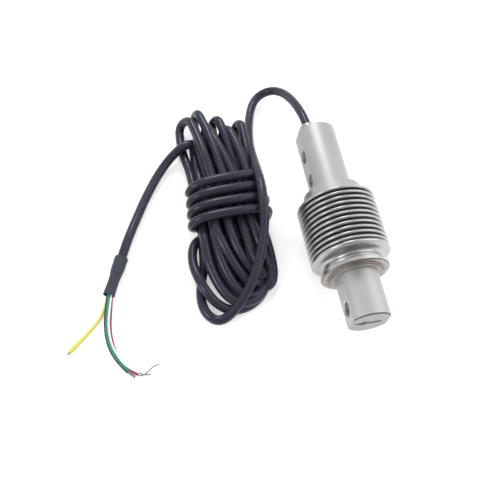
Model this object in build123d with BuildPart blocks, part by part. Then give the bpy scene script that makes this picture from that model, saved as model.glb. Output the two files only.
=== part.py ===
from build123d import *
import math
import os

# Bellows bending beam load cell lying on its bellows, axis along Y, load end towards -Y.
# X runs through the bolt holes, Z is up, and the floor is Z = 0. Millimetres.

# Spring body: a bar turned and milled from one piece of stainless steel
body_length = 120.0
bar_d = 24.0
flat_depth = 1.8
end_chamfer = 0.6
bolt_d = 8.2
load_hole_s = 9.0
first_bolt_s = 88.0
bolt_spacing = 16.0
hole_edge = 0.3

# Boss that carries the end ring, and collar that carries the other end of the bellows
boss_step = 2.3
boss_s = 26.1
collar_s = 73.4
collar_length = 4.6

# Welded end ring with the hub that the bellows is pushed onto
ring_lip = 2.8
ring_s = 27.5
ring_thickness = 3.1
hub_length = 4.0
hub_wall = 1.7
ring_edge = 0.5

# Bellows: thin wall, rounded crests, narrow roots
root_step = 1.6
convolution_depth = 4.4
bellows_wall = 0.3
convolutions = 12
first_crest_s = 36.8
last_crest_s = 70.0
crest_flat = 0.8
crest_width = 1.7
crest_drop = 0.55
root_gap = 0.6
inner_crest = 1.0
inner_root = 1.7
cuff_reach = 1.5

# Measuring block inside the bellows, with the twin hole opening that sets the strain
block_depth = 20.0
block_width = 10.4
twin_hole_d = 14.4
twin_spacing = 15.4
twin_slot = 4.0

# Strain gauges, terminals and compensation board on the block
gauge_length = 8.0
gauge_width = 5.0
gauge_thickness = 0.15
terminal_length = 4.6
terminal_width = 6.0
terminal_thickness = 0.5
board_length = 16.0
board_width = 18.0
board_thickness = 0.8
chip_length = 3.2
chip_width = 1.6
chip_height = 0.7
chip_spacing = 3.6
chip_count = 3
header_length = 3.0
header_width = 4.8
header_height = 2.6

# Wiring bore past the bolt holes, and the inner wires in it
wiring_x = -4.6
wiring_z = 6.8
wiring_bore_d = 3.2
inner_wire_d = 1.1
inner_wire_spacing = 1.24

# Cable gland in the fixed end
gland_z = 4.9
pocket_d = 8.0
pocket_depth = 9.5
plug_length = 2.0
gland_lip_d = 9.0
gland_proud = 2.2
gland_bore_d = 6.8
gland_mouth_d = 5.8
gland_mouth_length = 1.0
gland_edge = 0.5
seal_clearance = 0.1

# Cable and what is on its far end
cable_d = 5.3
shrink_start = (-119.7, 4.4, 4.1)
shrink_end = (-129.9, -18.0, 3.6)
shrink_profile = [(0.0, 3.4), (9.5, 3.5), (14.0, 2.9), (22.0, 2.85)]
shrink_flare = 3.0
sleeve_d = 2.0
core_d = 1.2
bare_d = 0.7
drain_d = 0.8
drain_length = 1.6

# Worked out from the sizes above
across_flats = bar_d - 2 * flat_depth
boss_d = bar_d + 2 * boss_step
seat_d = boss_d + 2 * hub_wall
ring_d = seat_d + 2 * ring_lip
root_d = seat_d + 2 * root_step
crest_d = root_d + 2 * convolution_depth
axis_z = crest_d / 2
load_end_y = -(body_length + gland_proud) / 2
bar_r = bar_d / 2
boss_r = boss_d / 2
seat_r = seat_d / 2
ring_end_s = ring_s + ring_thickness
hub_end_s = ring_end_s + hub_length
pitch = (last_crest_s - first_crest_s) / (convolutions - 1)
land_s = last_crest_s
collar_end_s = collar_s + collar_length
chamber_mid_s = (hub_end_s + land_s) / 2
pocket_s = body_length - pocket_depth
gland_s = pocket_s + plug_length
gland_end_s = body_length + gland_proud
block_top = block_width / 2
board_s = chamber_mid_s - board_length / 2
header_end_s = board_s + board_length
cable_r = cable_d / 2

# Local X of this plane is the radius and local Y the distance from the load end
turning = Plane(origin=(0, load_end_y, axis_z), x_dir=(1, 0, 0), z_dir=(0, 0, 1))
cell_axis = Axis((0, load_end_y, axis_z), (0, 1, 0))


def across(s):
    """Plane square to the bar at s from the load end, local X along X and local Y up."""
    return Plane(origin=(0, load_end_y + s, axis_z), x_dir=(-1, 0, 0), z_dir=(0, 1, 0))


def profile(plane, points):
    """Closed outline on a plane, for one revolve."""
    with BuildSketch(plane) as outline:
        with BuildLine():
            Polyline(*points, close=True)
        make_face()
    return outline.sketch


def save(piece, label):
    piece.part.label = label
    export_step(piece.part, f"parts/{label}.step")


def bend_radii(points):
    """Largest tangent arc that each corner's two runs allow."""
    radii = []
    for before, here, after in zip(points, points[1:], points[2:]):
        arrive = Vector(*here) - Vector(*before)
        leave = Vector(*after) - Vector(*here)
        half_turn = math.radians(arrive.get_angle(leave)) / 2
        radii.append(0.45 * min(arrive.length, leave.length) / math.tan(half_turn))
    return radii


def cord_tube(name, points, radius):
    """Round tube along straight runs joined by tangent arcs."""
    radii = bend_radii(points)
    with BuildPart() as tube:
        with BuildLine() as route:
            if radii:
                FilletPolyline(*points, radius=radii)
            else:
                Line(*points)
        path = route.wires()[0]
        with BuildSketch(Plane(origin=path @ 0, z_dir=path % 0)):
            Circle(radius)
        sweep(path=path)
    print(name, "bend radii", [round(r, 1) for r in radii], "length", round(path.length, 1))
    print(
        name, "volume", round(tube.part.volume, 1),
        "section times length", round(math.pi * radius**2 * path.length, 1),
    )
    return tube.part


os.makedirs("parts", exist_ok=True)

# Spring body
load_bar = [
    (0, 0), (bar_r - end_chamfer, 0), (bar_r, end_chamfer), (bar_r, boss_s),
    (boss_r, boss_s), (boss_r, hub_end_s), (0, hub_end_s),
]
fixed_bar = [
    (0, land_s), (seat_r, land_s), (seat_r, collar_s), (seat_r + bellows_wall, collar_s),
    (seat_r + bellows_wall, collar_end_s), (bar_r, collar_end_s),
    (bar_r, body_length - end_chamfer), (bar_r - end_chamfer, body_length), (0, body_length),
]
with BuildPart() as beam_body:
    revolve(profile(turning, load_bar), axis=cell_axis)
    revolve(profile(turning, fixed_bar), axis=cell_axis)
    with BuildSketch(across(hub_end_s)):
        Rectangle(block_depth, block_width)
    extrude(amount=land_s - hub_end_s)
    for start, end in ((0, boss_s), (collar_end_s, body_length)):
        with BuildSketch(across(start)):
            with Locations((-bar_r, 0), (bar_r, 0)):
                Rectangle(bar_d - across_flats, bar_d)
        extrude(amount=end - start, mode=Mode.SUBTRACT)
    with BuildSketch(Plane.XY.offset(axis_z)):
        with Locations(
            (0, load_end_y + chamber_mid_s - twin_spacing / 2),
            (0, load_end_y + chamber_mid_s + twin_spacing / 2),
        ):
            Circle(twin_hole_d / 2)
        with Locations((0, load_end_y + chamber_mid_s)):
            Rectangle(twin_slot, twin_spacing)
    extrude(amount=block_width, both=True, mode=Mode.SUBTRACT)
    with BuildSketch(Plane.YZ):
        with Locations(
            (load_end_y + load_hole_s, axis_z),
            (load_end_y + first_bolt_s, axis_z),
            (load_end_y + first_bolt_s + bolt_spacing, axis_z),
        ):
            Circle(bolt_d / 2)
    extrude(amount=bar_d, both=True, mode=Mode.SUBTRACT)
    flats = [
        face for face in beam_body.faces().filter_by(Axis.X)
        if math.isclose(abs(face.center().X), across_flats / 2, abs_tol=0.001)
    ]
    chamfer([edge for flat in flats for edge in flat.edges().filter_by(GeomType.CIRCLE)], hole_edge)
    with BuildSketch(across(pocket_s)):
        with Locations((-wiring_x, gland_z)):
            Circle(pocket_d / 2)
    extrude(amount=pocket_depth, mode=Mode.SUBTRACT)
    with BuildSketch(across(land_s)):
        with Locations((-wiring_x, wiring_z)):
            Circle(wiring_bore_d / 2)
    extrude(amount=pocket_s - land_s, mode=Mode.SUBTRACT)
save(beam_body, "beam_body")

# End ring, welded to the boss
ring_section = [
    (boss_r, ring_s), (ring_d / 2 - ring_edge, ring_s), (ring_d / 2, ring_s + ring_edge),
    (ring_d / 2, ring_end_s - ring_edge), (ring_d / 2 - ring_edge, ring_end_s),
    (seat_r, ring_end_s), (seat_r, hub_end_s), (boss_r, hub_end_s),
]
with BuildPart() as load_end_ring:
    revolve(profile(turning, ring_section), axis=cell_axis)
save(load_end_ring, "load_end_ring")

# Bellows: the outside from the ring to the collar, then the inside back again.
# Crests are rounded by a flat and two slopes, which keeps the mesh light.
outside = [(seat_r, ring_end_s), (seat_r + bellows_wall, ring_end_s)]
outside.append((seat_r + bellows_wall, first_crest_s - cuff_reach))
inside = [(seat_r, first_crest_s - cuff_reach)]
for index in range(convolutions):
    crest_s = first_crest_s + index * pitch
    shoulder_r = crest_d / 2 - crest_drop
    outside += [
        (shoulder_r, crest_s - crest_width / 2), (crest_d / 2, crest_s - crest_flat / 2),
        (crest_d / 2, crest_s + crest_flat / 2), (shoulder_r, crest_s + crest_width / 2),
    ]
    inside += [
        (crest_d / 2 - bellows_wall, crest_s - inner_crest / 2),
        (crest_d / 2 - bellows_wall, crest_s + inner_crest / 2),
    ]
    if index < convolutions - 1:
        root_s = crest_s + pitch / 2
        outside += [(root_d / 2, root_s - root_gap / 2), (root_d / 2, root_s + root_gap / 2)]
        inside += [
            (root_d / 2 - bellows_wall, crest_s + inner_root / 2),
            (root_d / 2 - bellows_wall, crest_s + pitch - inner_root / 2),
        ]
outside.append((seat_r + bellows_wall, last_crest_s + cuff_reach))
outside += [(seat_r + bellows_wall, collar_s), (seat_r, collar_s)]
inside.append((seat_r, last_crest_s + cuff_reach))
with BuildPart() as bellows:
    revolve(profile(turning, outside + inside[::-1]), axis=cell_axis)
save(bellows, "bellows")

# Four foil gauges over the thin spots, one strip of solder terminals on each side
gauge_number = 0
for side in (-1, 1):
    for hole_side in (-1, 1):
        gauge_number += 1
        gauge_y = load_end_y + chamber_mid_s + hole_side * twin_spacing / 2
        with BuildPart() as strain_gauge:
            with BuildSketch(Plane.YZ.offset(side * block_depth / 2)):
                with Locations((gauge_y, axis_z)):
                    Rectangle(gauge_length, gauge_width)
            extrude(amount=side * gauge_thickness)
        save(strain_gauge, f"strain_gauge_{gauge_number}")
for number, side in ((1, -1), (2, 1)):
    with BuildPart() as terminal_strip:
        with BuildSketch(Plane.YZ.offset(side * block_depth / 2)):
            with Locations((load_end_y + chamber_mid_s, axis_z)):
                Rectangle(terminal_length, terminal_width)
        extrude(amount=side * terminal_thickness)
    save(terminal_strip, f"terminal_strip_{number}")

# Compensation board on top of the block, with its trim resistors and solder header
board_z = axis_z + block_top
with BuildPart() as compensation_board:
    with BuildSketch(Plane.XY.offset(board_z)):
        with Locations((0, load_end_y + chamber_mid_s)):
            Rectangle(board_width, board_length)
    extrude(amount=board_thickness)
save(compensation_board, "compensation_board")
with BuildPart() as trim_resistors:
    with BuildSketch(Plane.XY.offset(board_z + board_thickness)):
        with Locations((-wiring_x, load_end_y + chamber_mid_s)):
            with GridLocations(chip_length, chip_spacing, 1, chip_count):
                Rectangle(chip_length, chip_width)
    extrude(amount=chip_height)
save(trim_resistors, "trim_resistors")
with BuildPart() as solder_header:
    with BuildSketch(Plane.XY.offset(board_z + board_thickness)):
        with Locations((wiring_x, load_end_y + header_end_s - header_length / 2)):
            Rectangle(header_width, header_length)
    extrude(amount=header_height)
save(solder_header, "solder_header")

# Four inner wires from the header through the wiring bore to the potting plug
wire_number = 0
for row in (-1, 1):
    for column in (-1, 1):
        wire_number += 1
        wire_x = wiring_x + column * inner_wire_spacing / 2
        wire_z = wiring_z + row * inner_wire_spacing / 2
        with BuildPart() as inner_wire:
            with BuildSketch(across(header_end_s)):
                with Locations((-wire_x, wire_z)):
                    Circle(inner_wire_d / 2)
            extrude(amount=pocket_s - header_end_s)
        save(inner_wire, f"inner_wire_{wire_number}")

# Potting plug, gland and rubber seal in the pocket of the fixed end
with BuildPart() as potting_plug:
    with BuildSketch(across(pocket_s)):
        with Locations((-wiring_x, gland_z)):
            Circle(pocket_d / 2)
    extrude(amount=plug_length)
save(potting_plug, "potting_plug")
gland_turning = Plane(
    origin=(wiring_x, load_end_y, axis_z + gland_z), x_dir=(1, 0, 0), z_dir=(0, 0, 1)
)
gland_axis = Axis((wiring_x, load_end_y, axis_z + gland_z), (0, 1, 0))
mouth_s = gland_end_s - gland_mouth_length
gland_section = [
    (gland_bore_d / 2, gland_s), (pocket_d / 2, gland_s), (pocket_d / 2, body_length),
    (gland_lip_d / 2, body_length), (gland_lip_d / 2, gland_end_s - gland_edge),
    (gland_lip_d / 2 - gland_edge, gland_end_s), (gland_mouth_d / 2, gland_end_s),
    (gland_mouth_d / 2, mouth_s), (gland_bore_d / 2, mouth_s),
]
with BuildPart() as cable_gland:
    revolve(profile(gland_turning, gland_section), axis=gland_axis)
save(cable_gland, "cable_gland")
seal_bore_r = cable_r + seal_clearance
seal_section = [
    (seal_bore_r, gland_s), (gland_bore_d / 2, gland_s),
    (gland_bore_d / 2, mouth_s), (seal_bore_r, mouth_s),
]
with BuildPart() as gland_seal:
    revolve(profile(gland_turning, seal_section), axis=gland_axis)
save(gland_seal, "gland_seal")

# Tied hank of cable: one closed solid of its outer shape, widest at the wraps
# Each section is its place along Y, its middle in X, its half width and its height.
hank_sections = [
    (-37.0, -64.0, 11.0, 6.0), (-24.0, -61.0, 22.0, 12.0), (-6.0, -61.0, 23.0, 19.0),
    (12.0, -57.5, 23.5, 24.0), (44.0, -56.5, 22.0, 21.0), (64.0, -57.0, 21.0, 17.0),
    (84.0, -59.0, 18.0, 13.0), (93.0, -62.0, 9.0, 8.0),
]
hank_corner = 0.3
with BuildPart() as cable_hank:
    for section_y, middle, half_width, height in hank_sections:
        cut = hank_corner * height
        with BuildSketch(Plane.XZ.offset(-section_y)):
            with BuildLine():
                Polyline(
                    (middle - half_width + cut, 0), (middle + half_width - cut, 0),
                    (middle + half_width, cut), (middle + half_width, height - cut),
                    (middle + half_width - cut, height), (middle - half_width + cut, height),
                    (middle - half_width, height - cut), (middle - half_width, cut), close=True,
                )
            make_face()
    loft(ruled=True)
save(cable_hank, "cable_hank")

# Lead: out of the gland, down and round to the floor, then up onto the hank
gland_x = wiring_x
lead_z = axis_z + gland_z
lead_points = [
    (gland_x, load_end_y + gland_s, lead_z), (gland_x, 64.4, lead_z), (-5.7, 75.4, 24.6),
    (-6.8, 85.6, 20.4), (-9.0, 94.9, 15.6), (-13.4, 101.4, 11.0), (-19.6, 102.9, 7.4),
    (-25.8, 99.2, 5.2), (-30.0, 91.2, 4.4), (-32.8, 81.6, 5.8), (-35.2, 72.0, 8.6),
    (-37.0, 62.0, 11.0),
]
with BuildPart() as cable_lead:
    add(cord_tube("cable_lead", lead_points, cable_r))
    add(cable_hank.part, mode=Mode.SUBTRACT)
save(cable_lead, "cable_lead")

# Heat shrink over the stripped end, lying on the floor
shrink_run = math.dist(shrink_start, shrink_end)
shrink_way = (Vector(*shrink_end) - Vector(*shrink_start)).normalized()
shrink_side = shrink_way.cross(Vector(0, 0, 1)).normalized()
shrink_plane = Plane(origin=shrink_start, x_dir=shrink_side, z_dir=shrink_side.cross(shrink_way))
shrink_section = [(0, 0), *[(radius, along) for along, radius in shrink_profile]]
shrink_section += [(shrink_flare, shrink_run), (0, shrink_run)]
with BuildPart() as heat_shrink:
    revolve(profile(shrink_plane, shrink_section), axis=Axis(shrink_start, shrink_way))
save(heat_shrink, "heat_shrink")

# Tail: off the far side of the hank and along the floor to the heat shrink
tail_straight = 12.0
tail_bend = Vector(*shrink_start) - shrink_way * tail_straight
tail_points = [
    (-68.0, 66.6, 12.6), (-76.0, 67.6, 10.6), (-85.0, 62.4, 5.6), (-93.4, 53.0, 3.2),
    (-101.8, 40.0, 2.8), (-108.6, 27.4, 2.8), tuple(tail_bend), shrink_start,
]
with BuildPart() as cable_tail:
    add(cord_tube("cable_tail", tail_points, cable_r))
    add(cable_hank.part, mode=Mode.SUBTRACT)
save(cable_tail, "cable_tail")

# Screen sleeve with the cut drain wire in its end
sleeve_points = [
    (-130.2, -17.0, 1.7), (-132.8, -24.2, 1.3), (-137.4, -31.4, 1.1), (-144.6, -38.0, 1.1),
    (-153.2, -45.4, 1.1),
]
with BuildPart() as screen_sleeve:
    add(cord_tube("screen_sleeve", sleeve_points, sleeve_d / 2))
    add(heat_shrink.part, mode=Mode.SUBTRACT)
save(screen_sleeve, "screen_sleeve")
sleeve_way = (Vector(*sleeve_points[-1]) - Vector(*sleeve_points[-2])).normalized()
with BuildPart() as drain_wire:
    with BuildSketch(Plane(origin=sleeve_points[-1], z_dir=sleeve_way)):
        Circle(drain_d / 2)
    extrude(amount=drain_length)
save(drain_wire, "drain_wire")

# Four insulated cores side by side, each beside the line that the green one takes.
# A core's entries are its offset to the right of that line and its height, point by point.
core_line = [
    (-129.6, -17.2), (-131.9, -26.5), (-133.5, -36.5), (-132.6, -46.4), (-128.7, -55.2),
    (-124.9, -60.0), (-120.9, -63.2),
]
core_places = {
    "black": [(-0.7, 4.0), (-1.2, 3.2), (-1.3, 1.2), (-1.3, 0.6), (-1.3, 0.7), (-1.3, 0.6)],
    "green": [(0.1, 5.1), (0.2, 3.8), (0.0, 1.6), (0.0, 0.6), (0.0, 0.7), (0.0, 0.6)],
    "white": [(1.3, 4.3), (1.4, 2.9), (1.3, 1.2), (1.3, 0.6), (1.3, 0.7), (1.3, 0.6), (1.3, 0.7)],
    "red": [(1.6, 2.9), (2.4, 1.8), (2.6, 0.8), (2.6, 0.6), (2.6, 0.7), (2.6, 0.6), (2.6, 0.7)],
}

# Tinned ends, as steps on from where the insulation stops
bare_steps = {
    "black": [(3.2, -3.6, 0.0)],
    "green": [(3.0, -3.2, 0.0)],
    "white": [(2.0, -1.5, 0.0), (3.6, -0.2, 0.0)],
    "red": [(1.6, -1.0, 0.0), (3.4, 1.4, 0.4), (3.2, 2.6, 0.6), (3.0, 0.6, 0.2)],
}


def beside(line, index, offset, height):
    """Point to the right of a plan line, square to its run there."""
    start = Vector(*line[max(index - 1, 0)])
    end = Vector(*line[min(index + 1, len(line) - 1)])
    run = (end - start).normalized()
    return (line[index][0] - run.Y * offset, line[index][1] + run.X * offset, height)


for colour, places in core_places.items():
    core_points = [beside(core_line, i, *place) for i, place in enumerate(places)]
    with BuildPart() as core:
        add(cord_tube(f"wire_{colour}", core_points, core_d / 2))
        add(heat_shrink.part, mode=Mode.SUBTRACT)
    save(core, f"wire_{colour}")
    bare_points = [Vector(*core_points[-1])]
    for step in bare_steps[colour]:
        bare_points.append(bare_points[-1] + Vector(*step))
    with BuildPart() as bare_end:
        add(cord_tube(f"bare_{colour}", [tuple(point) for point in bare_points], bare_d / 2))
    save(bare_end, f"bare_{colour}")
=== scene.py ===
import bpy
import bmesh
import math
from mathutils import Matrix, Vector, noise


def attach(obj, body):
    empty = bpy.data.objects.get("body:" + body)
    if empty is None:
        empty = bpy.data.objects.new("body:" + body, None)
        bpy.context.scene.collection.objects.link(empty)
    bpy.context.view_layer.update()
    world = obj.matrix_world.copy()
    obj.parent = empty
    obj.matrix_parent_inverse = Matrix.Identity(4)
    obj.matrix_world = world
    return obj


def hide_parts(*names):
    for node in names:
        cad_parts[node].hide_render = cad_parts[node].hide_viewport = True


# Bending beam load cell with a bellows and a tied cable, dressed over its CAD frame.
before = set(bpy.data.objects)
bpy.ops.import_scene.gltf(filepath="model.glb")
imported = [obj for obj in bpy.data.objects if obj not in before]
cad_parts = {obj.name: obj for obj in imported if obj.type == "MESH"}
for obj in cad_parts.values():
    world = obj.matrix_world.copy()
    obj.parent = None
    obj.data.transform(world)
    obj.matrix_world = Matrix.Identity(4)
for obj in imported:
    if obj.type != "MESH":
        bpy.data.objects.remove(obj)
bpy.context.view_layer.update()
print("CAD frame loaded")

mm = 0.001
body = "root"
cell = {"loadEnd": -0.0611, "axisHeight": 0.022}   # y of the load end's face, z of the bar's axis


def toLinear(hexColour):
    channels = [int(hexColour[i:i + 2], 16) / 255 for i in (1, 3, 5)]
    return [c / 12.92 if c <= 0.04045 else ((c + 0.055) / 1.055) ** 2.4 for c in channels] + [1]


def newObject(name, data):
    made = bpy.data.objects.new(name, data)
    bpy.context.scene.collection.objects.link(made)
    return made


def addNode(tree, kind, sockets, **settings):
    # sockets holds a value or another node's output for each input that isn't left as it is
    newNode = tree.nodes.new(kind)
    for name, value in settings.items():
        setattr(newNode, name, value)
    for socket, value in sockets.items():
        if isinstance(value, bpy.types.NodeSocket):
            tree.links.new(value, newNode.inputs[socket])
        else:
            newNode.inputs[socket].default_value = value
    return newNode


def makeFinish(name, look):
    # Two tones mixed by a broad noise, a roughness range and a fine bump, all from real sizes in mm
    material = bpy.data.materials.new(name)
    material.use_nodes = True
    tree = material.node_tree
    tree.nodes.clear()
    place = addNode(tree, "ShaderNodeTexCoord", {}).outputs["Object"]
    stretched = addNode(tree, "ShaderNodeVectorMath",
                        {0: place, 1: look.get("stretch", (1, 1, 1))}, operation="MULTIPLY")
    patches = addNode(tree, "ShaderNodeTexNoise",
                      {"Vector": place, "Scale": 1 / (look["patch"] * mm), "Detail": 3.0})
    grain = addNode(tree, "ShaderNodeTexNoise",
                    {"Vector": stretched.outputs[0], "Scale": 1 / (look["grain"] * mm), "Detail": 2.0})
    tone = addNode(tree, "ShaderNodeMix",
                   {"Factor": patches.outputs["Fac"], "A": toLinear(look["colours"][0]),
                    "B": toLinear(look["colours"][1])}, data_type="RGBA")
    # A noise stays mostly between 0.3 and 0.7, so the range is taken from there
    gloss = addNode(tree, "ShaderNodeMapRange",
                    {"Value": grain.outputs["Fac"], "From Min": 0.3, "From Max": 0.7,
                     "To Min": look["roughness"][0], "To Max": look["roughness"][1]})
    relief = addNode(tree, "ShaderNodeBump",
                     {"Height": grain.outputs["Fac"], "Strength": look.get("bump", 0.3),
                      "Distance": look["relief"] * mm})
    shader = addNode(tree, "ShaderNodeBsdfPrincipled",
                     {"Base Color": tone.outputs["Result"], "Roughness": gloss.outputs["Result"],
                      "Normal": relief.outputs["Normal"], **look.get("shader", {})})
    addNode(tree, "ShaderNodeOutputMaterial", {"Surface": shader.outputs["BSDF"]})
    return material


finishes = {
    # Turned and fine blasted: a soft warm grey sheen with faint rings round the bar
    "satin turned stainless steel": {
        "colours": ("#B4B3B1", "#BCBBBA"), "patch": 14, "grain": 0.9, "stretch": (0.25, 3.0, 0.25),
        "roughness": (0.46, 0.54), "relief": 0.012, "shader": {"Metallic": 1.0}},
    # Cold formed strip: smoother and brighter than the turned parts, with faint draw marks
    "hydroformed stainless strip": {
        "colours": ("#AEAEB0", "#B6B6B8"), "patch": 9, "grain": 1.4, "stretch": (0.3, 1.0, 0.3),
        "roughness": (0.30, 0.36), "relief": 0.002, "shader": {"Metallic": 1.0}},
    # Milled ferrule: a little duller than the bar it sits in
    "machined stainless ferrule": {
        "colours": ("#A9A8A4", "#B9B7B2"), "patch": 3, "grain": 0.5, "stretch": (0.3, 2.0, 0.3),
        "roughness": (0.34, 0.44), "relief": 0.01, "shader": {"Metallic": 1.0}},
    # TIG bead: dark straw to brown oxide over a rippled metal
    "oxidised weld bead": {
        "colours": ("#85786F", "#9C928B"), "patch": 1.6, "grain": 0.5,
        "roughness": (0.34, 0.5), "relief": 0.03, "shader": {"Metallic": 1.0}},
    # Annealed by a laser: flat blue black, without relief of its own
    "laser annealed mark": {
        "colours": ("#33343E", "#43444E"), "patch": 1.5, "grain": 0.25,
        "roughness": (0.4, 0.55), "relief": 0.005, "shader": {"Metallic": 0.7}},
    # Copper nickel foil on polyimide film: amber with metallic grids
    "constantan foil on polyimide": {
        "colours": ("#8E5E22", "#C58A3C"), "patch": 0.8, "grain": 0.3, "stretch": (1.0, 0.1, 1.0),
        "roughness": (0.3, 0.4), "relief": 0.01, "shader": {"Metallic": 0.4}},
    # Tinned pads on a glass cloth strip: dull silver with an amber ground
    "tinned terminal strip": {
        "colours": ("#A98C55", "#C9C7BE"), "patch": 1.2, "grain": 0.4,
        "roughness": (0.3, 0.45), "relief": 0.02, "shader": {"Metallic": 0.5}},
    # Solder mask over glass cloth: a glossy mid green
    "green solder mask on glass epoxy": {
        "colours": ("#1F5B38", "#2A6B45"), "patch": 2, "grain": 0.6,
        "roughness": (0.24, 0.36), "relief": 0.01, "shader": {"IOR": 1.55}},
    # Epoxy body over ceramic: near black and matt
    "chip resistor epoxy": {
        "colours": ("#202124", "#2C2D30"), "patch": 1, "grain": 0.3,
        "roughness": (0.5, 0.62), "relief": 0.01, "shader": {"IOR": 1.55}},
    # Moulded header block: opaque cream with a slight waxy shine
    "moulded nylon": {
        "colours": ("#D9D4C2", "#E4DFCF"), "patch": 2, "grain": 0.3,
        "roughness": (0.4, 0.5), "relief": 0.01, "shader": {"IOR": 1.53}},
    # Extruded fluoropolymer: milky white and slippery
    "PTFE insulation": {
        "colours": ("#DDDDD8", "#E8E8E4"), "patch": 2, "grain": 0.4,
        "roughness": (0.32, 0.42), "relief": 0.01, "shader": {"IOR": 1.38}},
    # Cast silicone: black, smooth and a little soft looking
    "silicone potting": {
        "colours": ("#1D1E20", "#292A2D"), "patch": 2, "grain": 0.6,
        "roughness": (0.34, 0.48), "relief": 0.02, "shader": {"IOR": 1.41}},
    # Moulded nitrile: flat dark grey with a dusty grain
    "nitrile seal": {
        "colours": ("#26272A", "#313236"), "patch": 1.5, "grain": 0.3,
        "roughness": (0.55, 0.7), "relief": 0.02, "shader": {"IOR": 1.52}},
    # Extruded polyurethane: blue black with a soft gloss, print of the braid just felt under it
    "extruded PUR cable jacket": {
        "colours": ("#26272F", "#303139"), "patch": 22, "grain": 1.1,
        "roughness": (0.24, 0.31), "relief": 0.008,
        "shader": {"IOR": 1.5, "Specular Tint": toLinear("#D2D4F0")}},
    # Shrunk polyolefin: slate grey, drier than the jacket and slightly wrinkled
    "polyolefin heat shrink": {
        "colours": ("#2A2E37", "#363B46"), "patch": 5, "grain": 0.8,
        "roughness": (0.46, 0.6), "relief": 0.05, "bump": 0.4, "shader": {"IOR": 1.49}},
    # Soft PVC sleeving: pale lemon, slightly see-through where it is thin, so it glows
    "lemon PVC sleeving": {
        "colours": ("#DDD66C", "#E6E186"), "patch": 6, "grain": 0.8,
        "roughness": (0.34, 0.48), "relief": 0.03,
        "shader": {"IOR": 1.52, "Subsurface Weight": 0.15,
                   "Subsurface Radius": (0.001, 0.0009, 0.0003)}},
    # Copper strand dipped in tin: bright grey, uneven where the tin ran
    "tinned copper strand": {
        "colours": ("#8C8A86", "#A3A19D"), "patch": 1.2, "grain": 0.3,
        "roughness": (0.24, 0.38), "relief": 0.02, "shader": {"Metallic": 1.0}},
    # PVC core insulation in the four signal colours: smooth, semi gloss
    "black PVC core": {
        "colours": ("#1E1F22", "#2A2B2F"), "patch": 5, "grain": 0.6,
        "roughness": (0.34, 0.45), "relief": 0.01, "shader": {"IOR": 1.53}},
    "green PVC core": {
        "colours": ("#1B7F6A", "#268F78"), "patch": 5, "grain": 0.6,
        "roughness": (0.34, 0.45), "relief": 0.01, "shader": {"IOR": 1.53}},
    "white PVC core": {
        "colours": ("#ECECEA", "#F4F4F2"), "patch": 5, "grain": 0.6,
        "roughness": (0.34, 0.45), "relief": 0.01, "shader": {"IOR": 1.53}},
    "red PVC core": {
        "colours": ("#9E2340", "#AE304C"), "patch": 5, "grain": 0.6,
        "roughness": (0.34, 0.45), "relief": 0.01, "shader": {"IOR": 1.53}},
}
finish = {name: makeFinish(name, look) for name, look in finishes.items()}

# Painted shade: surfaces square to the bar, the load end's face among them, are painted greyer than the
# round of it, and the chamfer between them is painted as a dark line of shade. "from" and "to" are how
# squarely the surface looks along the bar.
shadedFace = {"colour": "#A6A5A4", "from": 0.84, "to": 0.95}
chamferShade = {"colour": "#6E6E70", "from": 0.56, "to": 0.66}
# The walls of the load hole and the two bolt holes get a painted highlight, a colour brighter than the
# bar's. Their places are mm from the load end, and "reach" is half the length of bar that is taken as in
# the hole.
boreHighlight = {"colour": "#DFDFDD", "from": 0.2, "to": 0.5, "holes": (9.0, 88.0, 104.0), "reach": 4.6}
tree = finish["satin turned stainless steel"].node_tree
shader = next(n for n in tree.nodes if n.type == "BSDF_PRINCIPLED")
steelTone = shader.inputs["Base Color"].links[0].from_socket
where = addNode(tree, "ShaderNodeTexCoord", {})
alongBar = addNode(tree, "ShaderNodeSeparateXYZ", {0: where.outputs["Normal"]}).outputs["Y"]
squareness = addNode(tree, "ShaderNodeMath", {0: alongBar}, operation="ABSOLUTE")
placeAlong = addNode(tree, "ShaderNodeSeparateXYZ", {0: where.outputs["Object"]}).outputs["Y"]
inHole = 0.0
for hole in boreHighlight["holes"]:
    nearHole = addNode(tree, "ShaderNodeMath", {0: placeAlong, 1: cell["loadEnd"] + hole * mm,
                                                2: boreHighlight["reach"] * mm}, operation="COMPARE")
    inHole = addNode(tree, "ShaderNodeMath", {0: nearHole.outputs[0], 1: inHole},
                     operation="ADD").outputs[0]
onOutside = addNode(tree, "ShaderNodeMath", {0: 1.0, 1: inHole}, operation="SUBTRACT").outputs[0]
# Mixed over the steel's tone: the painted dark chamfer line and painted greyer faces outside the holes,
# and the painted highlight on the hole walls
for paintedMark, zone in ((chamferShade, onOutside), (shadedFace, onOutside), (boreHighlight, inHole)):
    square = addNode(tree, "ShaderNodeMapRange",
                     {"Value": squareness.outputs[0], "From Min": paintedMark["from"], "From Max": paintedMark["to"]})
    share = addNode(tree, "ShaderNodeMath", {0: square.outputs[0], 1: zone}, operation="MULTIPLY")
    mixed = addNode(tree, "ShaderNodeMix", {"Factor": share.outputs[0], "A": steelTone,
                                            "B": toLinear(paintedMark["colour"])}, data_type="RGBA")
    steelTone = mixed.outputs["Result"]
tree.links.new(steelTone, shader.inputs["Base Color"])
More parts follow.
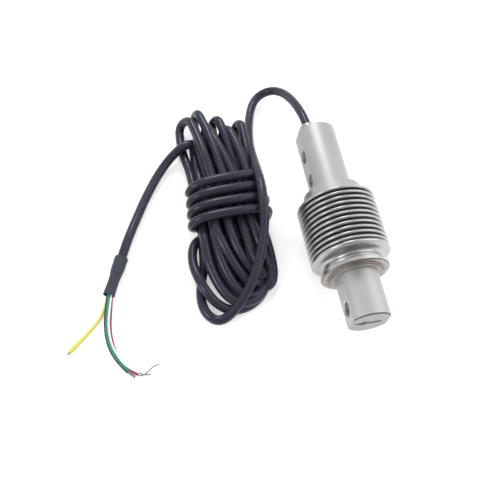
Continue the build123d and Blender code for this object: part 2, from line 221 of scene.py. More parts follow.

# The ring's finish is the bar's, painted shade on square faces and chamfers included, with the weld's
# heat tint fading outwards over its front face.
# "inner" and "outer" are radii and "front" and "back" are y, in mm.
tint = {"inner": 14.6, "outer": 17.6, "front": -33.4, "back": -32.9, "colour": "#8F8A86",
        "roughness": (0.30, 0.38)}
tinted = finish["satin turned stainless steel"].copy()
tinted.name = "turned stainless steel with heat tint"
finish[tinted.name] = tinted
tree = tinted.node_tree
shader = next(n for n in tree.nodes if n.type == "BSDF_PRINCIPLED")
steelTone = shader.inputs["Base Color"].links[0].from_socket
ringGloss = shader.inputs["Roughness"].links[0].from_node
ringGloss.inputs["To Min"].default_value, ringGloss.inputs["To Max"].default_value = tint["roughness"]
place = addNode(tree, "ShaderNodeTexCoord", {}).outputs["Object"]
fromAxis = addNode(tree, "ShaderNodeVectorMath",
                   {0: place, 1: (1, 0, 1), 2: (0, 0, -cell["axisHeight"])}, operation="MULTIPLY_ADD")
radius = addNode(tree, "ShaderNodeVectorMath", {0: fromAxis.outputs[0]}, operation="LENGTH")
fade = addNode(tree, "ShaderNodeMapRange",
               {"Value": radius.outputs["Value"], "From Min": tint["inner"] * mm,
                "From Max": tint["outer"] * mm, "To Min": 1.0, "To Max": 0.0},
               interpolation_type="SMOOTHSTEP")
along = addNode(tree, "ShaderNodeSeparateXYZ", {0: place})
front = addNode(tree, "ShaderNodeMapRange",
                {"Value": along.outputs["Y"], "From Min": tint["front"] * mm,
                 "From Max": tint["back"] * mm, "To Min": 1.0, "To Max": 0.0})
share = addNode(tree, "ShaderNodeMath", {0: fade.outputs[0], 1: front.outputs[0]},
                operation="MULTIPLY")
mixed = addNode(tree, "ShaderNodeMix", {"Factor": share.outputs[0], "A": steelTone,
                                        "B": toLinear(tint["colour"])}, data_type="RGBA")
tree.links.new(mixed.outputs["Result"], shader.inputs["Base Color"])

carried = {
    "beam_body": "satin turned stainless steel",
    "load_end_ring": "turned stainless steel with heat tint",
    "cable_gland": "machined stainless ferrule",
    "gland_seal": "nitrile seal",
    "potting_plug": "silicone potting",
    "compensation_board": "green solder mask on glass epoxy",
    "trim_resistors": "chip resistor epoxy",
    "solder_header": "moulded nylon",
    "terminal_strip_1": "tinned terminal strip",
    "terminal_strip_2": "tinned terminal strip",
    "drain_wire": "tinned copper strand",
}
carried.update({f"strain_gauge_{i}": "constantan foil on polyimide" for i in range(1, 5)})
carried.update({f"inner_wire_{i}": "PTFE insulation" for i in range(1, 5)})
for nodeName, finishName in carried.items():
    for materialSlot in bpy.data.objects[nodeName].material_slots:
        materialSlot.material = finish[finishName]
print("finishes made")


def dress(piece, finishName, slotName, *nodes):
    # Gives a new piece its finish and its body and hides the CAD nodes that it stands for; its slot name
    # is not used
    piece.data.materials.clear()
    piece.data.materials.append(finish[finishName])
    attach(piece, body)
    if nodes:
        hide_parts(*nodes)


def meshPiece(name, mesh):
    meshData = bpy.data.meshes.new(name)
    bmesh.ops.recalc_face_normals(mesh, faces=mesh.faces)
    mesh.to_mesh(meshData)
    mesh.free()
    for face in meshData.polygons:
        face.use_smooth = True
    return newObject(name, meshData)


def ringsToMesh(rings, closed=False):
    # A skin over rings of points; closed joins the last ring to the first one
    mesh = bmesh.new()
    loops = [[mesh.verts.new(point) for point in ring] for ring in rings]
    pairs = list(zip(loops, loops[1:])) + ([(loops[-1], loops[0])] if closed else [])
    for first, second in pairs:
        count = len(first)
        for i in range(count):
            mesh.faces.new((first[i], first[(i + 1) % count], second[(i + 1) % count], second[i]))
    return mesh


def roundAxis(outline, segments, ripple=None):
    # Rings about the bar's axis from (distance from the load end, radius) in mm
    rings = []
    for s, r in outline:
        ring = []
        for i in range(segments):
            turn = 2 * math.pi * i / segments
            out = (r + (ripple(s, turn) if ripple else 0)) * mm
            ring.append((out * math.sin(turn), cell["loadEnd"] + s * mm,
                         cell["axisHeight"] + out * math.cos(turn)))
        rings.append(ring)
    return rings


def arc(centreS, centreR, size, start, end, steps):
    # Part of a circle in the bellows' outline, angles in degrees from the outward direction
    points = []
    for i in range(steps + 1):
        angle = math.radians(start + (end - start) * i / steps)
        points.append((centreS + size * math.sin(angle), centreR + size * math.cos(angle)))
    return points


# Bellows: cuff and broad shoulder at the load end, twelve convolutions, cuff at the fixed end. The
# cuffs are drawn as distance from the load end and radius, and all lengths are in mm. A "Turn" is an
# arc's start, end and steps, and "behind" is that round's share of the other crests' round.
bellows = {
    "crest": 22.0, "root": 17.6, "first": 36.8, "last": 70.0, "count": 12, "wall": 0.3,
    "crestRound": 0.84, "crestSteps": 10, "rootRound": 0.4, "rootSteps": 6, "segments": 192,
    "shoulderRound": 1.5, "shoulderTurn": (-85, 0, 7), "behind": 0.9, "behindTurn": (15, 90, 5),
    "loadCuff": [(30.62, 16.35), (31.3, 16.75), (31.9, 16.9), (32.5, 16.75), (32.9, 16.5),
                 (33.4, 16.45), (34.0, 16.7), (34.6, 17.3), (35.0, 18.0), (35.3, 18.9), (35.5, 19.9)],
    "fixedCuff": [(71.2, 19.4), (71.5, 17.6), (71.9, 16.8), (72.5, 16.5), (73.35, 16.4)],
}
pitch = (bellows["last"] - bellows["first"]) / (bellows["count"] - 1)
crest, crestRound = bellows["crest"], bellows["crestRound"]
outline = list(bellows["loadCuff"])
for k in range(bellows["count"]):
    centre = bellows["first"] + pitch * k
    if k == 0:
        # The first crest is broad in front and drops behind with a slightly smaller round
        shoulder, behind = bellows["shoulderRound"], crestRound * bellows["behind"]
        outline += arc(centre - crestRound + shoulder, crest - shoulder, shoulder,
                       *bellows["shoulderTurn"])
        outline += arc(centre + shoulder - behind, crest - behind, behind, *bellows["behindTurn"])
    else:
        outline += arc(centre, crest - crestRound, crestRound, -90, 90, bellows["crestSteps"])
    if k < bellows["count"] - 1:
        outline += arc(centre + pitch / 2, bellows["root"] + bellows["rootRound"],
                       bellows["rootRound"], -90, -270, bellows["rootSteps"])
outline += bellows["fixedCuff"]
bellowsPiece = meshPiece("bellowsConvolutions", ringsToMesh(roundAxis(outline, bellows["segments"])))
wall = bellowsPiece.modifiers.new("wall", "SOLIDIFY")
wall.thickness = bellows["wall"] * mm
wall.offset = -1
dress(bellowsPiece, "hydroformed stainless strip", "bellows_steel", "bellows")
print("bellows made")

# Weld between the boss and the ring: a rippled bead, one ripple for each dip of the rod, in mm.
# "s" is its distance from the load end and "r" its radius about the bar.
bead = {"s": 27.45, "r": 14.75, "size": 0.62, "sides": 10, "ripples": 74, "depth": 0.07,
        "unevenness": 6, "segments": 296}


def beadRipple(s, turn):
    uneven = noise.noise(Vector((math.sin(turn), math.cos(turn), s)) * bead["unevenness"])
    return bead["depth"] * (math.sin(turn * bead["ripples"]) + uneven)


beadOutline = []
for i in range(bead["sides"]):
    angle = math.radians(i * 360 / bead["sides"])
    beadOutline.append((bead["s"] + bead["size"] * math.cos(angle),
                        bead["r"] + bead["size"] * math.sin(angle)))
beadMesh = ringsToMesh(roundAxis(beadOutline, bead["segments"], beadRipple), closed=True)
dress(meshPiece("ringWeldBead", beadMesh), "oxidised weld bead", "stainless")

# Direction arrow on the load end: x of its tip, neck and tail, half widths and thickness, in mm
arrow = {"tip": -8.8, "neck": -2.4, "tail": 6.4, "headHalf": 2.7, "stemHalf": 1.15, "thickness": 0.03}
arrowShape = [(arrow["tip"], 0), (arrow["neck"], arrow["headHalf"]),
              (arrow["neck"], arrow["stemHalf"]), (arrow["tail"], arrow["stemHalf"])]
arrowShape += [(x, -z) for x, z in reversed(arrowShape[1:])]
arrowRings = [[(x * mm, cell["loadEnd"] - lift * mm, cell["axisHeight"] + z * mm) for x, z in arrowShape]
              for lift in (arrow["thickness"], 0)]
arrowMesh = ringsToMesh(arrowRings)
arrowMesh.verts.ensure_lookup_table()
for side in (arrowMesh.verts[:len(arrowShape)], arrowMesh.verts[len(arrowShape):]):
    arrowMesh.faces.new(side)
arrowPiece = meshPiece("loadArrow", arrowMesh)
for face in arrowPiece.data.polygons:
    face.use_smooth = False
dress(arrowPiece, "laser annealed mark", "stainless")
print("ring weld and arrow made")


def cordCurve(name, points, diameter, widths=None, resolution=12, rounding=7):
    # One open NURBS spline through the route, round in section, closed at both ends
    curveData = bpy.data.curves.new(name, "CURVE")
    curveData.dimensions = "3D"
    curveData.bevel_depth = diameter / 2
    curveData.bevel_resolution = rounding
    curveData.use_fill_caps = True
    curveData.resolution_u = resolution
    spline = curveData.splines.new("NURBS")
    spline.points.add(len(points) - 1)
    for i, point in enumerate(points):
        spline.points[i].co = (*point, 1)
        spline.points[i].radius = widths[i] if widths else 1.0
    spline.order_u = 3
    spline.use_endpoint_u = True
    spline.use_smooth = True
    return newObject(name, curveData)


# Cable: the same lead and tail as the CAD tubes, with the hank's turns and wraps between them. It
# starts inside the gland and ends inside the heat shrink. Metres.
cable = {"diameter": 0.0053, "length": 2.76}
leadRoute = [
    (-0.0046, 0.0514, 0.0269), (-0.0046, 0.0644, 0.0269), (-0.0057, 0.0754, 0.0246),
    (-0.0068, 0.0856, 0.0204), (-0.0090, 0.0949, 0.0156), (-0.0134, 0.1014, 0.0110),
    (-0.0196, 0.1029, 0.0074), (-0.0258, 0.0992, 0.0052), (-0.0300, 0.0912, 0.0044),
    (-0.0328, 0.0816, 0.0058), (-0.0352, 0.0720, 0.0086), (-0.0370, 0.0620, 0.0110),
]
# Over the wraps, round the bottom of the hank and back up its left side
overHank = [
    (-0.0376, 0.0500, 0.0150), (-0.0385, 0.0390, 0.0205), (-0.0392, 0.0285, 0.0243),
    (-0.0403, 0.0175, 0.0252), (-0.0413, 0.0080, 0.0240), (-0.0434, -0.0010, 0.0215),
    (-0.0463, -0.0100, 0.0188), (-0.0502, -0.0190, 0.0158), (-0.0556, -0.0280, 0.0120),
    (-0.0622, -0.0350, 0.0080), (-0.0688, -0.0400, 0.0042), (-0.0752, -0.0412, 0.0027),
    (-0.0802, -0.0360, 0.0027), (-0.0817, -0.0285, 0.0027), (-0.0802, -0.0190, 0.0028),
    (-0.0766, -0.0090, 0.0034), (-0.0752, 0.0030, 0.0052),
]
# Turns from left to right. Each goes up inside the wraps at the waist x "up", round its top end,
# in at the waist x "enter" and out again at "leave", at the height "level", and round its bottom end.
hankTurns = [
    {"up": -0.0745, "enter": -0.0643, "leave": -0.0690, "level": 0.0152,
     "top": [(-0.0747, 0.0550, 0.0056), (-0.0762, 0.0650, 0.0042), (-0.0761, 0.0747, 0.0035),
             (-0.0759, 0.0775, 0.0035), (-0.0756, 0.0819, 0.0036), (-0.0744, 0.0848, 0.0065),
             (-0.0716, 0.0848, 0.0107), (-0.0693, 0.0819, 0.0136), (-0.0686, 0.0777, 0.0141),
             (-0.0671, 0.0689, 0.0152), (-0.0656, 0.0570, 0.0160)],
     "bottom": [(-0.0693, 0.0060, 0.0150), (-0.0687, -0.0070, 0.0128), (-0.0664, -0.0165, 0.0102),
                (-0.0622, -0.0261, 0.0078), (-0.0569, -0.0313, 0.0070), (-0.0507, -0.0301, 0.0062),
                (-0.0471, -0.0242, 0.0044), (-0.0502, -0.0201, 0.0029), (-0.0580, -0.0228, 0.0028),
                (-0.0658, -0.0162, 0.0028), (-0.0704, -0.0069, 0.0029), (-0.0708, 0.0017, 0.0046)]},
    {"up": -0.0700, "enter": -0.0655, "leave": -0.0738, "level": 0.0096,
     "top": [(-0.0702, 0.0540, 0.0056), (-0.0699, 0.0608, 0.0044), (-0.0694, 0.0669, 0.0038),
             (-0.0693, 0.0694, 0.0063), (-0.0680, 0.0694, 0.0097), (-0.0676, 0.0669, 0.0122),
             (-0.0670, 0.0605, 0.0120), (-0.0665, 0.0538, 0.0110)],
     "bottom": [(-0.0748, 0.0040, 0.0128), (-0.0752, -0.0070, 0.0115), (-0.0736, -0.0170, 0.0096),
                (-0.0694, -0.0280, 0.0078), (-0.0624, -0.0348, 0.0070), (-0.0537, -0.0338, 0.0064),
                (-0.0469, -0.0287, 0.0054), (-0.0446, -0.0214, 0.0040), (-0.0486, -0.0162, 0.0028),
                (-0.0584, -0.0186, 0.0028), (-0.0642, -0.0111, 0.0030), (-0.0658, -0.0007, 0.0046)]},
    {"up": -0.0645, "enter": -0.0577, "leave": -0.0684, "level": 0.0152,
     "top": [(-0.0646, 0.0560, 0.0050), (-0.0650, 0.0690, 0.0036), (-0.0656, 0.0798, 0.0033),
             (-0.0657, 0.0865, 0.0036), (-0.0653, 0.0894, 0.0065), (-0.0642, 0.0894, 0.0107),
             (-0.0634, 0.0865, 0.0136), (-0.0626, 0.0822, 0.0141), (-0.0609, 0.0736, 0.0150),
             (-0.0592, 0.0610, 0.0156)],
     "bottom": [(-0.0682, 0.0070, 0.0168), (-0.0660, -0.0020, 0.0156), (-0.0624, -0.0110, 0.0126),
                (-0.0579, -0.0194, 0.0096), (-0.0533, -0.0244, 0.0080), (-0.0477, -0.0233, 0.0062),
                (-0.0448, -0.0167, 0.0038), (-0.0488, -0.0112, 0.0028), (-0.0576, -0.0124, 0.0028),
                (-0.0608, -0.0039, 0.0050), (-0.0627, 0.0039, 0.0090)]},
    {"up": -0.0600, "enter": -0.0520, "leave": -0.0608, "level": 0.0152,
     "top": [(-0.0600, 0.0560, 0.0052), (-0.0599, 0.0640, 0.0040), (-0.0602, 0.0708, 0.0034),
             (-0.0604, 0.0763, 0.0036), (-0.0606, 0.0792, 0.0065), (-0.0601, 0.0792, 0.0107),
             (-0.0597, 0.0763, 0.0136), (-0.0586, 0.0721, 0.0141), (-0.0575, 0.0677, 0.0146),
             (-0.0544, 0.0569, 0.0150)],
     "bottom": [(-0.0606, 0.0090, 0.0160), (-0.0592, -0.0020, 0.0142), (-0.0560, -0.0105, 0.0118),
                (-0.0522, -0.0164, 0.0098), (-0.0494, -0.0202, 0.0086), (-0.0450, -0.0204, 0.0064),
                (-0.0422, -0.0164, 0.0042), (-0.0428, -0.0090, 0.0030), (-0.0494, -0.0044, 0.0028),
                (-0.0538, 0.0001, 0.0050), (-0.0555, 0.0051, 0.0090)]},
    {"up": -0.0556, "enter": -0.0484, "leave": -0.0524, "level": 0.0110,
     "top": [(-0.0552, 0.0560, 0.0052), (-0.0549, 0.0655, 0.0040), (-0.0552, 0.0743, 0.0034),
             (-0.0554, 0.0810, 0.0036), (-0.0551, 0.0839, 0.0064), (-0.0535, 0.0839, 0.0104),
             (-0.0522, 0.0810, 0.0132), (-0.0516, 0.0766, 0.0134), (-0.0507, 0.0702, 0.0136),
             (-0.0495, 0.0569, 0.0128)],
     "bottom": [(-0.0524, 0.0090, 0.0150), (-0.0514, -0.0020, 0.0136), (-0.0500, -0.0102, 0.0124),
                (-0.0482, -0.0169, 0.0115), (-0.0466, -0.0200, 0.0090), (-0.0436, -0.0200, 0.0052),
                (-0.0419, -0.0168, 0.0029), (-0.0419, -0.0090, 0.0028), (-0.0442, -0.0019, 0.0028),
                (-0.0478, 0.0037, 0.0036), (-0.0513, 0.0069, 0.0052)]},
    {"up": -0.0512, "enter": -0.0433, "leave": -0.0474, "level": 0.0152,
     "top": [(-0.0500, 0.0560, 0.0052), (-0.0502, 0.0630, 0.0040), (-0.0504, 0.0683, 0.0035),
             (-0.0506, 0.0732, 0.0036), (-0.0504, 0.0761, 0.0065), (-0.0488, 0.0761, 0.0107),
             (-0.0475, 0.0732, 0.0136), (-0.0466, 0.0689, 0.0141), (-0.0457, 0.0647, 0.0146),
             (-0.0444, 0.0559, 0.0150)],
     "bottom": [(-0.0469, 0.0080, 0.0150), (-0.0454, -0.0030, 0.0128), (-0.0432, -0.0112, 0.0104),
                (-0.0416, -0.0186, 0.0082), (-0.0426, -0.0232, 0.0068), (-0.0454, -0.0258, 0.0054),
                (-0.0490, -0.0254, 0.0038), (-0.0514, -0.0216, 0.0030), (-0.0514, -0.0156, 0.0028),
                (-0.0500, -0.0089, 0.0028), (-0.0479, -0.0017, 0.0054), (-0.0483, 0.0049, 0.0090)]},
    {"up": -0.0462, "enter": -0.0402, "leave": -0.0418, "level": 0.0110,
     "top": [(-0.0444, 0.0560, 0.0052), (-0.0432, 0.0641, 0.0038), (-0.0424, 0.0713, 0.0034),
             (-0.0422, 0.0772, 0.0036), (-0.0417, 0.0798, 0.0062), (-0.0403, 0.0798, 0.0098),
             (-0.0392, 0.0772, 0.0122), (-0.0392, 0.0727, 0.0123), (-0.0392, 0.0673, 0.0124),
             (-0.0398, 0.0570, 0.0126)],
     "bottom": [(-0.0412, 0.0090, 0.0112), (-0.0398, -0.0020, 0.0092), (-0.0392, -0.0110, 0.0076),
                (-0.0396, -0.0196, 0.0062), (-0.0422, -0.0256, 0.0056), (-0.0482, -0.0268, 0.0040),
                (-0.0570, -0.0296, 0.0027), (-0.0645, -0.0268, 0.0027), (-0.0686, -0.0165, 0.0027),
                (-0.0670, -0.0050, 0.0028), (-0.0590, 0.0040, 0.0036)]},
    # The last turn is low and wide: down the right side, under the lead and up at the left
    {"up": -0.0488, "enter": -0.0440, "leave": -0.0430, "level": 0.0068,
     "top": [(-0.0505, 0.0530, 0.0100), (-0.0515, 0.0580, 0.0110), (-0.0504, 0.0626, 0.0104),
             (-0.0469, 0.0658, 0.0082), (-0.0434, 0.0646, 0.0060), (-0.0422, 0.0604, 0.0050),
             (-0.0432, 0.0548, 0.0054)],
     "bottom": [(-0.0424, 0.0070, 0.0050), (-0.0424, -0.0060, 0.0030), (-0.0426, -0.0170, 0.0027),
                (-0.0462, -0.0280, 0.0027), (-0.0549, -0.0350, 0.0027), (-0.0660, -0.0368, 0.0029),
                (-0.0737, -0.0324, 0.0050), (-0.0784, -0.0262, 0.0082), (-0.0814, -0.0180, 0.0086),
                (-0.0830, -0.0080, 0.0066), (-0.0816, 0.0020, 0.0058), (-0.0770, 0.0080, 0.0052)]},
]
# At the waist a turn rises at these y, and falls at these y with this share of its way to "leave"
waist = {"rise": (0.012, 0.024, 0.036, 0.046), "low": 0.0080,
         "fall": ((0.046, 0.0), (0.038, -0.12), (0.028, 0.42), (0.018, 0.96))}
# Wraps round the waist: rounded box in section, one band beside the other. They lean over to the
# left downwards and fan out a little on the right. The last one stops at the part "end" of its turn.
wraps = {"count": 4, "perTurn": 16, "centre": -0.0570, "halfWidth": 0.0212, "bottom": 0.00265,
         "top": 0.0213, "firstY": 0.0107, "pitch": 0.0070, "squareness": 0.78, "lean": 0.00035,
         "leftRise": 0.002, "rightRise": 0.005, "fan": 0.0008, "end": 0.8}
# From the last wrap under the turns and up through the first one
toTail = [
    (-0.0770, 0.0390, 0.0040), (-0.0720, 0.0450, 0.0028), (-0.0650, 0.0510, 0.0028),
    (-0.0610, 0.0590, 0.0034), (-0.0625, 0.0665, 0.0062), (-0.0690, 0.0690, 0.0094),
]
tailRoute = [
    (-0.0760, 0.0676, 0.0106), (-0.0850, 0.0624, 0.0056), (-0.0934, 0.0530, 0.0032),
    (-0.1018, 0.0400, 0.0028), (-0.1086, 0.0274, 0.0028), (-0.1148, 0.0152, 0.0043),
    (-0.1197, 0.0044, 0.0041), (-0.1238, -0.0047, 0.0039),
]

hankRoute = []
for turn in hankTurns:
    hankRoute += [(turn["up"], y, waist["low"]) for y in waist["rise"]]
    hankRoute += turn["top"]
    drift = turn["leave"] - turn["enter"]
    hankRoute += [(turn["enter"] + drift * share, y, turn["level"]) for y, share in waist["fall"]]
    hankRoute += turn["bottom"]

wrapRoute = []
midHeight = (wraps["top"] + wraps["bottom"]) / 2
halfHeight = (wraps["top"] - wraps["bottom"]) / 2
for k in range(wraps["count"]):
    lean = wraps["lean"] * (wraps["count"] - 1 - k)
    rightRise = wraps["rightRise"] + wraps["fan"] * k
    for j in range(wraps["perTurn"]):
        part = j / wraps["perTurn"]
        if k == wraps["count"] - 1 and part > wraps["end"]:
            continue
        angle = 2 * math.pi * part
        side, up = math.sin(angle), -math.cos(angle)
        bulge = wraps["squareness"]
        # A wrap climbs in its first quarter, under the waist to the right, comes back a part of that
        # in the half turn over the waist, and climbs again in its last quarter
        rise = rightRise * min(part, 0.25) * 4
        rise -= (rightRise - wraps["leftRise"]) * max(0, min(part, 0.75) - 0.25) * 2
        rise += (wraps["pitch"] - wraps["leftRise"]) * max(0, part - 0.75) * 4
        reach = (wraps["halfWidth"] + lean) * math.copysign(abs(side) ** bulge, side)
        wrapRoute.append((wraps["centre"] - lean + reach, wraps["firstY"] + wraps["pitch"] * k + rise,
                          midHeight + halfHeight * math.copysign(abs(up) ** bulge, up)))

cableRoute = leadRoute + overHank + hankRoute + wrapRoute + toTail + tailRoute
cablePiece = cordCurve("signalCable", cableRoute, cable["diameter"])
dress(cablePiece, "extruded PUR cable jacket", "cable_jacket", "cable_lead", "cable_hank", "cable_tail")
print("cable laid")

# Heat shrink: shrunk over the jacket at one end and over the cores at the other, a little wrinkled.
# Its profile is distance along it and radius in mm, from inside its mouth to inside its far end.
shrink = {
    "start": (-0.1197, 0.0044, 0.0041), "end": (-0.1299, -0.0180, 0.0036), "segments": 48,
    "profile": [(2.2, 2.7), (1.7, 2.95), (1.5, 3.5), (1.65, 3.74), (1.95, 3.8), (2.5, 3.7), (4.0, 3.74),
                (7.0, 3.7), (9.8, 3.6), (11.6, 3.36), (13.2, 3.1), (15.0, 3.0), (18.0, 3.02),
                (20.8, 3.08), (23.0, 3.18), (24.3, 3.26), (24.6, 3.15), (24.5, 2.7), (22.0, 2.6)],
    "wrinkle": 0.09, "wrinklesRound": 1.6, "wrinklesAlong": 0.45, "pastJacket": 13, "flatness": 0.86,
}
shrinkStart = Vector(shrink["start"])
shrinkWay = (Vector(shrink["end"]) - shrinkStart).normalized()
shrinkSide = shrinkWay.cross(Vector((0, 0, 1))).normalized()
shrinkUp = shrinkSide.cross(shrinkWay)
shrinkRings = []
for far, size in shrink["profile"]:
    # Past the jacket the tube lies flatter over the four cores
    flat = shrink["flatness"] if far > shrink["pastJacket"] else 1.0
    ring = []
    for i in range(shrink["segments"]):
        turn = 2 * math.pi * i / shrink["segments"]
        side, up = math.cos(turn), math.sin(turn)
        spot = Vector((side * shrink["wrinklesRound"], up * shrink["wrinklesRound"],
                       far * shrink["wrinklesAlong"]))
        out = (size + shrink["wrinkle"] * noise.noise(spot)) * mm
        ring.append(shrinkStart + shrinkWay * far * mm + shrinkSide * side * out
                    + shrinkUp * up * out * flat)
    shrinkRings.append(ring)
shrinkPiece = meshPiece("jacketHeatShrink", ringsToMesh(shrinkRings))
shrinkFine = shrinkPiece.modifiers.new("smooth", "SUBSURF")
shrinkFine.levels = shrinkFine.render_levels = 1
dress(shrinkPiece, "polyolefin heat shrink", "heat_shrink", "heat_shrink")

# Screen sleeve: it widens towards its cut end, where the drain wire shows
sleeve = {"diameter": 0.0020, "length": 0.0373, "widths": (0.76, 0.8, 0.92, 1.15, 1.32)}
sleeveRoute = [
    (-0.1302, -0.0170, 0.0017), (-0.1328, -0.0242, 0.0013), (-0.1374, -0.0314, 0.0011),
    (-0.1446, -0.0380, 0.0012), (-0.1532, -0.0454, 0.0014),
]
sleevePiece = cordCurve("drainSleeve", sleeveRoute, sleeve["diameter"], sleeve["widths"],
                        resolution=10, rounding=6)
dress(sleevePiece, "lemon PVC sleeving", "yellow_sleeve", "screen_sleeve")

# Four cores along one line, the green and white ones lying on the black and red ones. "places" are
# how far each lies beside the line's points and above the floor, and "bare" are the steps of its
# tinned end, all in mm.
coreLine = [
    (-0.1296, -0.0172), (-0.1319, -0.0265), (-0.1335, -0.0365), (-0.1326, -0.0464),
    (-0.1287, -0.0552), (-0.1249, -0.0600), (-0.1209, -0.0632),
]
cores = {
    "black": {"length": 0.0462,
              "places": [(-0.7, 4.0), (-0.9, 3.0), (-0.75, 1.0), (-0.75, 0.6), (-0.7, 0.6), (-0.7, 0.6)],
              "bare": [(3.2, -3.6, 0.0)]},
    "green": {"length": 0.0456,
              "places": [(0.1, 5.1), (0.0, 4.1), (-0.18, 2.0), (-0.18, 1.6), (-0.1, 1.64), (-0.1, 1.64)],
              "bare": [(3.0, -3.2, -1.0)]},
    "white": {"length": 0.0491,
              "places": [(1.3, 4.3), (1.3, 3.9), (1.2, 2.0), (1.2, 1.6), (1.1, 1.68), (1.2, 1.5),
                         (2.0, 1.0)],
              "bare": [(2.0, -1.5, -0.3), (3.6, -0.2, -0.4)]},
    "red": {"length": 0.0487,
            "places": [(1.6, 2.9), (2.2, 2.4), (2.1, 1.0), (2.0, 0.6), (0.5, 0.6), (0.5, 0.6),
                       (0.8, 0.7)],
            "bare": [(1.6, -1.0, 0.0), (3.4, 1.4, 0.4), (3.2, 2.6, 0.6), (3.0, 0.6, 0.2)]},
}
# Metres. "strand" is a strand's radius and "bundle" that of the ring of six round the middle one.
core = {"diameter": 0.0012, "strand": 0.00013, "strands": 7, "bundle": 0.00023, "lay": 0.004}


def beside(line, index, offset, height):
    # Sideways from a point of the line, to the left of its run, and up from the floor
    start = Vector(line[max(index - 1, 0)])
    end = Vector(line[min(index + 1, len(line) - 1)])
    run = (end - start).normalized()
    return (line[index][0] - run.y * offset * mm, line[index][1] + run.x * offset * mm, height * mm)


def smoothPoints(route, resolution):
    # Points along the route's own spline, read from a curve without a bevel
    guide = cordCurve("guide", route, 0, resolution=resolution)
    evaluated = guide.evaluated_get(bpy.context.evaluated_depsgraph_get())
    guideMesh = bpy.data.meshes.new_from_object(evaluated)
    points = [v.co.copy() for v in guideMesh.vertices]
    bpy.data.objects.remove(guide)
    bpy.data.meshes.remove(guideMesh)
    return points


def strandBundle(name, points):
    # Six strands laid round a seventh, each turning once in the lay length
    curveData = bpy.data.curves.new(name, "CURVE")
    curveData.dimensions = "3D"
    curveData.bevel_depth = core["strand"]
    curveData.bevel_resolution = 2
    curveData.use_fill_caps = True
    for k in range(core["strands"]):
        spline = curveData.splines.new("POLY")
        spline.points.add(len(points) - 1)
        walked = 0
        for i, point in enumerate(points):
            way = (points[min(i + 1, len(points) - 1)] - points[max(i - 1, 0)]).normalized()
            sideways = way.cross(Vector((0, 0, 1))).normalized()
            upwards = sideways.cross(way)
            if i:
                walked += (point - points[i - 1]).length
            turn = 2 * math.pi * (k / (core["strands"] - 1) + walked / core["lay"])
            out = 0 if k == core["strands"] - 1 else core["bundle"]
            spot = point + (sideways * math.cos(turn) + upwards * math.sin(turn)) * out
            spline.points[i].co = (*spot, 1)
    return newObject(name, curveData)


for colour, settings in cores.items():
    coreRoute = [beside(coreLine, i, *where) for i, where in enumerate(settings["places"])]
    corePiece = cordCurve(f"core_{colour}", coreRoute, core["diameter"], resolution=8, rounding=4)
    dress(corePiece, f"{colour} PVC core", f"core_{colour}", f"wire_{colour}")
    bareRoute = [Vector(coreRoute[-1])]
    for step in settings["bare"]:
        bareRoute.append(bareRoute[-1] + Vector(step) * mm)
    bareRoute.insert(1, bareRoute[0].lerp(bareRoute[1], 0.5))
    bundle = strandBundle(f"strands_{colour}", smoothPoints([tuple(p) for p in bareRoute], 10))
    dress(bundle, "tinned copper strand", "tinned_copper", f"bare_{colour}")
print("stripped end made")

# Floor and soft studio light
floor = {"half": 3.0, "drop": 0.00005, "colour": "#F4F4F4", "roughness": 0.9, "glow": 0.45}
floorMesh = bmesh.new()
bmesh.ops.create_grid(floorMesh, x_segments=2, y_segments=2, size=floor["half"])
floorPiece = meshPiece("floor", floorMesh)
floorPiece.location.z = -floor["drop"]
floorMaterial = bpy.data.materials.new("matt white backdrop paper")
floorMaterial.use_nodes = True
tree = floorMaterial.node_tree
tree.nodes.clear()
# The camera and reflections see the paper glow, so it is white there, and it still takes shadows
rays = addNode(tree, "ShaderNodeLightPath", {})
seen = addNode(tree, "ShaderNodeMath", {0: rays.outputs["Is Camera Ray"],
                                        1: rays.outputs["Is Glossy Ray"]}, operation="ADD")
seen = addNode(tree, "ShaderNodeMath", {0: seen.outputs[0], 1: rays.outputs["Is Transmission Ray"]},
               operation="ADD")
glow = addNode(tree, "ShaderNodeMath", {0: seen.outputs[0], 1: floor["glow"]}, operation="MULTIPLY")
paper = addNode(tree, "ShaderNodeBsdfPrincipled",
                {"Base Color": toLinear(floor["colour"]), "Roughness": floor["roughness"],
                 "Emission Color": (1, 1, 1, 1), "Emission Strength": glow.outputs[0]})
addNode(tree, "ShaderNodeOutputMaterial", {"Surface": paper.outputs["BSDF"]})
floorPiece.data.materials.append(floorMaterial)

world = bpy.data.worlds.new("studio")
world.use_nodes = True
tree = world.node_tree
tree.nodes.clear()
sky = {"horizon": 0.90, "overhead": 0.62, "heights": (0.05, 0.85),
       "darkSide": (-0.55, -0.80, 0.24), "facing": (0.2, 0.95), "depth": 0.4}
direction = addNode(tree, "ShaderNodeTexCoord", {})
height = addNode(tree, "ShaderNodeSeparateXYZ", {0: direction.outputs["Generated"]})
level = addNode(tree, "ShaderNodeMapRange",
                {"Value": height.outputs["Z"], "From Min": sky["heights"][0],
                 "From Max": sky["heights"][1], "To Min": sky["horizon"], "To Max": sky["overhead"]})
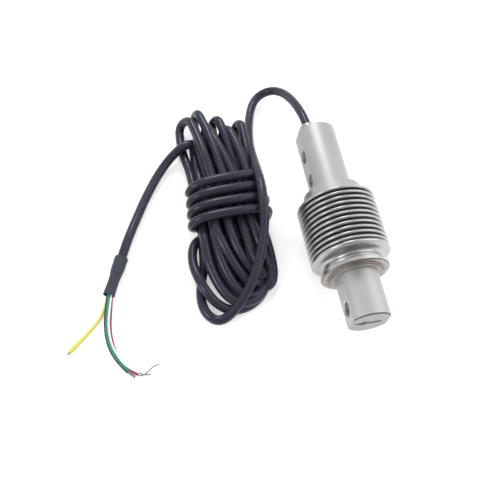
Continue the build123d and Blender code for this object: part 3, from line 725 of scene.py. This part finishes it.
# The room is darker to the front left of the lamps
facing = addNode(tree, "ShaderNodeVectorMath", {0: direction.outputs["Generated"], 1: sky["darkSide"]},
                 operation="DOT_PRODUCT")
shade = addNode(tree, "ShaderNodeMapRange",
                {"Value": facing.outputs["Value"], "From Min": sky["facing"][0],
                 "From Max": sky["facing"][1], "To Min": 1.0, "To Max": 1 - sky["depth"]},
                interpolation_type="SMOOTHSTEP")
strength = addNode(tree, "ShaderNodeMath", {0: level.outputs[0], 1: shade.outputs[0]},
                   operation="MULTIPLY")
# Where the camera sees the room itself, it is as white as the paper
sight = addNode(tree, "ShaderNodeLightPath", {})
strength = addNode(tree, "ShaderNodeMath", {0: strength.outputs[0], 1: sight.outputs["Is Camera Ray"]},
                   operation="MAXIMUM")
air = addNode(tree, "ShaderNodeBackground", {"Color": (1, 1, 1, 1), "Strength": strength.outputs[0]})
addNode(tree, "ShaderNodeOutputWorld", {"Surface": air.outputs[0]})
bpy.context.scene.world = world

lamps = {
    # name: place, aim, size, watts
    "softboxRight": ((0.42, -0.02, 0.42), (0.0, 0.0, 0.02), 0.62, 1.45),
    "softboxBack": ((-0.06, 0.50, 0.46), (-0.03, 0.02, 0.0), 0.22, 1.6),
    "softboxLeft": ((-0.50, -0.12, 0.40), (-0.06, 0.02, 0.0), 0.16, 1.1),
}
for name, (spot, aim, size, watts) in lamps.items():
    lamp = bpy.data.lights.new(name, "AREA")
    lamp.size = size
    lamp.energy = watts
    lampObject = newObject(name, lamp)
    lampObject.location = spot
    lampObject.rotation_euler = (Vector(aim) - Vector(spot)).to_track_quat("-Z", "Y").to_euler()

# Camera at the photograph's angle; the picture is square
view = {"place": (-0.13272, -0.17921, 0.37442), "look": (0.18786, 0.43680, -0.87972),
        "up": (0.12528, 0.87770, 0.46255), "lens": 56.0, "sensor": 36.0, "near": 0.01}
cameraData = bpy.data.cameras.new("photographer")
cameraData.lens = view["lens"]
cameraData.sensor_width = view["sensor"]
cameraData.clip_start = view["near"]
camera = newObject("photographer", cameraData)
look, upward = Vector(view["look"]).normalized(), Vector(view["up"])
rightward = look.cross(upward).normalized()
upward = rightward.cross(look)
axes = Matrix((rightward, upward, -look)).transposed()
camera.matrix_world = Matrix.Translation(view["place"]) @ axes.to_4x4()
bpy.context.scene.camera = camera
bpy.context.scene.view_settings.view_transform = "Standard"
print("studio set")
